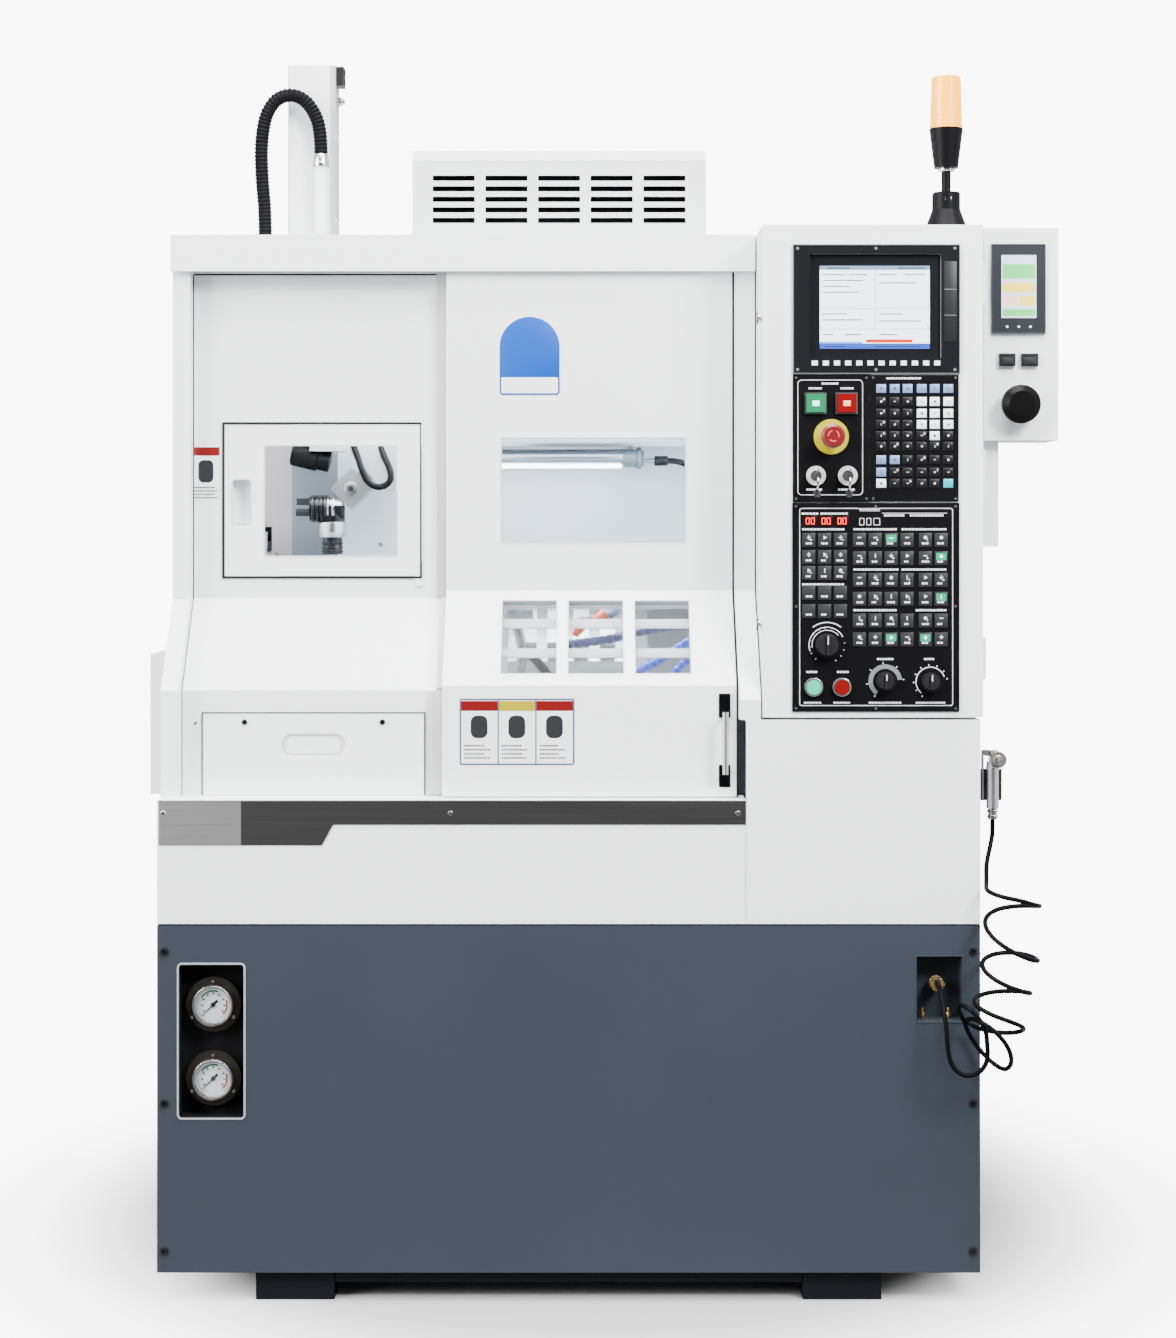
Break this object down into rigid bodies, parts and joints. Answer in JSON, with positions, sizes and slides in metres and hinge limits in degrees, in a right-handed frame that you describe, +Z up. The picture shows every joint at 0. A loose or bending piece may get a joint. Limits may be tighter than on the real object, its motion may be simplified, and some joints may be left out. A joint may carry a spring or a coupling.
{
  "type": "cnc turning lathe",
  "caption": "Enclosed turning lathe with a sliding front door, loading hatch, hinged control box with keys and knobs, roof vent, part loader, signal lamp and air gun on a coiled hose",
  "frame": {"origin": "middle of the whole machine's floor plan, on the floor, without the air hose and gun", "axes": "+X to the operator's right, +Y to the back, +Z up"},
  "size_m": [1.609, 1.364, 2.193],
  "materials": {
    "base_casing": "fine powder coat, slate",
    "base_feet": "near black",
    "coolant_tank": "grey",
    "air_fittings": "plated",
    "high_gauge_needle": "black",
    "low_gauge_needle": "black",
    "lower_panels": "satin white powder coat",
    "side_panels": "satin white powder coat",
    "corner_posts": "satin white powder coat",
    "left_front_panel": "satin white powder coat",
    "access_cover": "satin white powder coat",
    "rear_panel": "satin white powder coat",
    "roof_panel": "satin white powder coat",
    "door_panel": "satin white powder coat",
    "hatch_door": "satin white powder coat",
    "vent_box": "light grey",
    "loader_console": "light grey",
    "loader_column": "light grey",
    "trim_strip": "brushed",
    "door_rail": "ground ways",
    "bed_casting": "ground ways",
    "headstock": "ground ways",
    "door_windows": "laminated",
    "hatch_window": "laminated",
    "door_handle": "brushed",
    "collet_spindle": "brushed",
    "control_box": "satin white",
    "control_door": "satin white",
    "control_boards": "black",
    "button_bezels": "black",
    "mode_knob": "black",
    "feed_override_knob": "black",
    "speed_override_knob": "black",
    "palm_button": "black",
    "panel_keys": "black and coloured caps",
    "emergency_stop": "red",
    "green_square_button": "green",
    "green_round_button": "green",
    "red_square_button": "red",
    "red_round_button": "red",
    "left_key_switch": "plated",
    "right_key_switch": "plated",
    "lamp_base": "black",
    "lamp_housing": "black",
    "lamp_lens": "orange",
    "spindle_motor": "black",
    "carriage": "machined",
    "cross_slide": "machined",
    "loader_mount": "machined",
    "gripper_head": "machined",
    "gripper_jaw_1": "machined",
    "gripper_jaw_2": "machined",
    "gripper_jaw_3": "machined",
    "loader_loom": "black",
    "air_hose": "black",
    "air_hose_coil": "black",
    "air_gun": "dark",
    "gun_trigger": "dark",
    "gun_holster": "black",
    "cover_screws": "black"
  },
  "bodies": {
    "machine": {"base_casing": "base_casing", "base_feet": "base_feet", "coolant_tank": "coolant_tank", "air_fittings": "air_fittings", "lower_panels": "lower_panels", "side_panels": "side_panels", "corner_posts": "corner_posts", "left_front_panel": "left_front_panel", "access_cover": "access_cover", "rear_panel": "rear_panel", "roof_panel": "roof_panel", "vent_box": "vent_box", "loader_console": "loader_console", "trim_strip": "trim_strip", "door_rail": "door_rail", "bed_casting": "bed_casting", "headstock": "headstock", "control_box": "control_box", "lamp_base": "lamp_base", "spindle_motor": "spindle_motor", "loader_mount": "loader_mount", "loader_loom": "loader_loom", "air_hose": "air_hose", "air_hose_coil": "air_hose_coil", "air_gun": "air_gun", "gun_holster": "gun_holster", "cover_screws": "cover_screws"},
    "main_door": {"door_panel": "door_panel", "door_windows": "door_windows", "door_handle": "door_handle"},
    "hatch": {"hatch_door": "hatch_door", "hatch_window": "hatch_window"},
    "control_lid": {"control_door": "control_door", "control_boards": "control_boards", "panel_keys": "panel_keys", "button_bezels": "button_bezels"},
    "loader": {"loader_column": "loader_column"},
    "gripper": {"gripper_head": "gripper_head"},
    "lamp": {"lamp_housing": "lamp_housing", "lamp_lens": "lamp_lens"},
    "gripper_jaw_1_body": {"gripper_jaw_1": "gripper_jaw_1"},
    "gripper_jaw_2_body": {"gripper_jaw_2": "gripper_jaw_2"},
    "gripper_jaw_3_body": {"gripper_jaw_3": "gripper_jaw_3"},
    "collet_spindle_body": {"collet_spindle": "collet_spindle"},
    "carriage_body": {"carriage": "carriage"},
    "cross_slide_body": {"cross_slide": "cross_slide"},
    "emergency_stop_body": {"emergency_stop": "emergency_stop"},
    "green_square_button_body": {"green_square_button": "green_square_button"},
    "red_square_button_body": {"red_square_button": "red_square_button"},
    "green_round_button_body": {"green_round_button": "green_round_button"},
    "red_round_button_body": {"red_round_button": "red_round_button"},
    "left_key_switch_body": {"left_key_switch": "left_key_switch"},
    "right_key_switch_body": {"right_key_switch": "right_key_switch"},
    "mode_knob_body": {"mode_knob": "mode_knob"},
    "feed_override_knob_body": {"feed_override_knob": "feed_override_knob"},
    "speed_override_knob_body": {"speed_override_knob": "speed_override_knob"},
    "palm_button_body": {"palm_button": "palm_button"},
    "high_gauge_needle_body": {"high_gauge_needle": "high_gauge_needle"},
    "low_gauge_needle_body": {"low_gauge_needle": "low_gauge_needle"},
    "gun_trigger_body": {"gun_trigger": "gun_trigger"}
  },
  "joints": [
    {"name": "main_door_slide", "type": "slide", "parent": "machine", "child": "main_door", "axis": [1, 0, 0], "range_m": [-0.448, 0]},
    {"name": "hatch_hinge", "type": "hinge", "parent": "machine", "child": "hatch", "pos_m": [-0.3055, -0.418, 1.366], "axis": [0, 0, 1], "range_deg": [0, 95]},
    {"name": "control_lid_hinge", "type": "hinge", "parent": "machine", "child": "control_lid", "pos_m": [0.6725, -0.577, 1.414], "axis": [0, 0, 1], "range_deg": [0, 90]},
    {"name": "loader_lift", "type": "slide", "parent": "machine", "child": "loader", "axis": [0, 0, 1], "range_m": [-0.134, 0], "deforming": ["loader_loom"]},
    {"name": "gripper_swivel", "type": "hinge", "parent": "loader", "child": "gripper", "pos_m": [-0.4535, -0.1175, 1.392], "axis": [-0.7071, 0, -0.7071], "range_deg": [0, 180]},
    {"name": "jaw_1_slide", "type": "slide", "parent": "gripper", "child": "gripper_jaw_1_body", "axis": [0, 0, 1], "range_m": [0, 0.004]},
    {"name": "jaw_2_slide", "type": "slide", "parent": "gripper", "child": "gripper_jaw_2_body", "axis": [0, -0.866, -0.5], "range_m": [0, 0.004]},
    {"name": "jaw_3_slide", "type": "slide", "parent": "gripper", "child": "gripper_jaw_3_body", "axis": [0, 0.866, -0.5], "range_m": [0, 0.004]},
    {"name": "spindle_turn", "type": "hinge", "parent": "machine", "child": "collet_spindle_body", "pos_m": [-0.6375, -0.1175, 1.22], "axis": [1, 0, 0], "continuous": true},
    {"name": "carriage_slide", "type": "slide", "parent": "machine", "child": "carriage_body", "axis": [1, 0, 0], "range_m": [-0.12, 0.12]},
    {"name": "cross_slide_feed", "type": "slide", "parent": "carriage_body", "child": "cross_slide_body", "axis": [0, 0.7071, 0.7071], "range_m": [-0.05, 0.05]},
    {"name": "emergency_stop_press", "type": "slide", "parent": "control_lid", "child": "emergency_stop_body", "axis": [0, 1, 0], "range_m": [0, 0.005], "stiffness_N_per_m": 900},
    {"name": "green_square_button_press", "type": "slide", "parent": "control_lid", "child": "green_square_button_body", "axis": [0, 1, 0], "range_m": [0, 0.003], "stiffness_N_per_m": 500},
    {"name": "red_square_button_press", "type": "slide", "parent": "control_lid", "child": "red_square_button_body", "axis": [0, 1, 0], "range_m": [0, 0.003], "stiffness_N_per_m": 500},
    {"name": "green_round_button_press", "type": "slide", "parent": "control_lid", "child": "green_round_button_body", "axis": [0, 1, 0], "range_m": [0, 0.004], "stiffness_N_per_m": 500},
    {"name": "red_round_button_press", "type": "slide", "parent": "control_lid", "child": "red_round_button_body", "axis": [0, 1, 0], "range_m": [0, 0.004], "stiffness_N_per_m": 500},
    {"name": "left_key_switch_turn", "type": "hinge", "parent": "control_lid", "child": "left_key_switch_body", "pos_m": [0.3825, -0.6025, 1.406], "axis": [0, 1, 0], "range_deg": [0, 90]},
    {"name": "right_key_switch_turn", "type": "hinge", "parent": "control_lid", "child": "right_key_switch_body", "pos_m": [0.4365, -0.6025, 1.406], "axis": [0, 1, 0], "range_deg": [0, 90]},
    {"name": "mode_knob_turn", "type": "hinge", "parent": "control_lid", "child": "mode_knob_body", "pos_m": [0.4015, -0.6025, 1.118], "axis": [0, 1, 0], "range_deg": [-60, 210]},
    {"name": "feed_override_knob_turn", "type": "hinge", "parent": "control_lid", "child": "feed_override_knob_body", "pos_m": [0.5005, -0.6025, 1.057], "axis": [0, 1, 0], "range_deg": [-135, 135]},
    {"name": "speed_override_knob_turn", "type": "hinge", "parent": "control_lid", "child": "speed_override_knob_body", "pos_m": [0.5775, -0.6025, 1.056], "axis": [0, 1, 0], "range_deg": [-135, 135]},
    {"name": "palm_button_press", "type": "slide", "parent": "machine", "child": "palm_button_body", "axis": [0, 1, 0], "range_m": [0, 0.008], "stiffness_N_per_m": 900},
    {"name": "lamp_tilt", "type": "hinge", "parent": "machine", "child": "lamp", "pos_m": [0.6165, -0.5225, 1.885], "axis": [0, 1, 0], "range_deg": [-90, 90]},
    {"name": "high_gauge_needle_swing", "type": "hinge", "parent": "machine", "child": "high_gauge_needle_body", "pos_m": [-0.6445, -0.5845, 0.503], "axis": [0, 1, 0], "range_deg": [0, 240]},
    {"name": "low_gauge_needle_swing", "type": "hinge", "parent": "machine", "child": "low_gauge_needle_body", "pos_m": [-0.6445, -0.5845, 0.377], "axis": [0, 1, 0], "range_deg": [0, 240]},
    {"name": "trigger_squeeze", "type": "hinge", "parent": "machine", "child": "gun_trigger_body", "pos_m": [0.6825, -0.5425, 0.93], "axis": [0, -1, 0], "range_deg": [0, 3.5], "stiffness_Nm_per_rad": 2}
  ],
  "couplings": [
    {"joint": "jaw_2_slide", "follows": "jaw_1_slide", "ratio": 1},
    {"joint": "jaw_3_slide", "follows": "jaw_1_slide", "ratio": 1}
  ]
}
